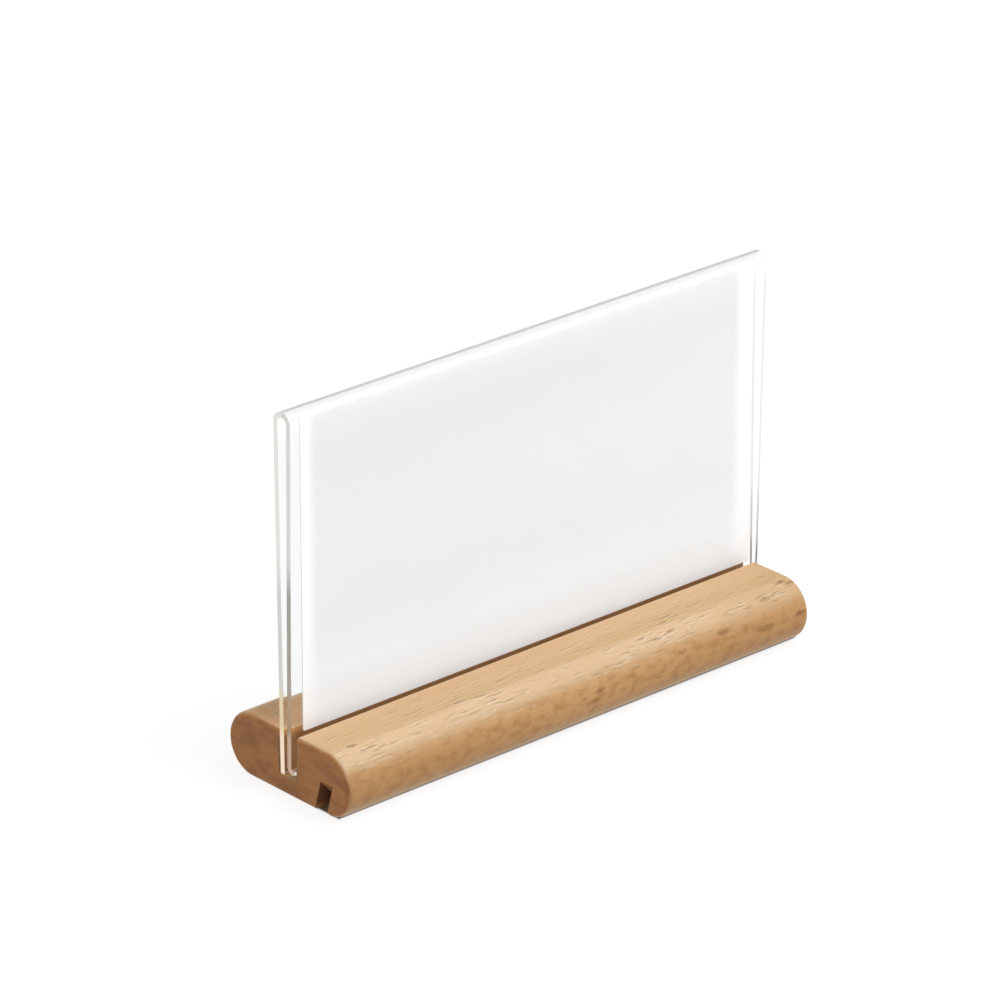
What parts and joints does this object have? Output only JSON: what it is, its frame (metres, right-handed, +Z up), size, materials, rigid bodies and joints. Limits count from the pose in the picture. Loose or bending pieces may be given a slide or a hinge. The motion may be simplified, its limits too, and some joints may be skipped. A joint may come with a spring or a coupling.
{
  "type": "slanted sign holder",
  "caption": "Table sign holder: a round-edged beech bar slotted for a folded clear acrylic sleeve with a blank card inside, and a slanted groove along its underside.",
  "frame": {"origin": "on the table, in the middle of the whole piece's footprint", "axes": "+X along the bar towards its right end, +Z up, -Y the front"},
  "size_m": [0.152, 0.044, 0.0978],
  "materials": {
    "beech": "oiled, satin",
    "clear_acrylic": "clear, polished",
    "card_paper": "matt"
  },
  "bodies": {
    "base": {"base": "beech"},
    "sleeve": {"sleeve": "clear_acrylic"},
    "card": {"card": "card_paper"}
  },
  "joints": [
    {"name": "sleeve_lift", "type": "slide", "parent": "base", "child": "sleeve", "axis": [0, 0, 1], "range_m": [0, 0.02]},
    {"name": "card_slide", "type": "slide", "parent": "sleeve", "child": "card", "axis": [1, 0, 0], "range_m": [-0.15, 0.15]}
  ]
}
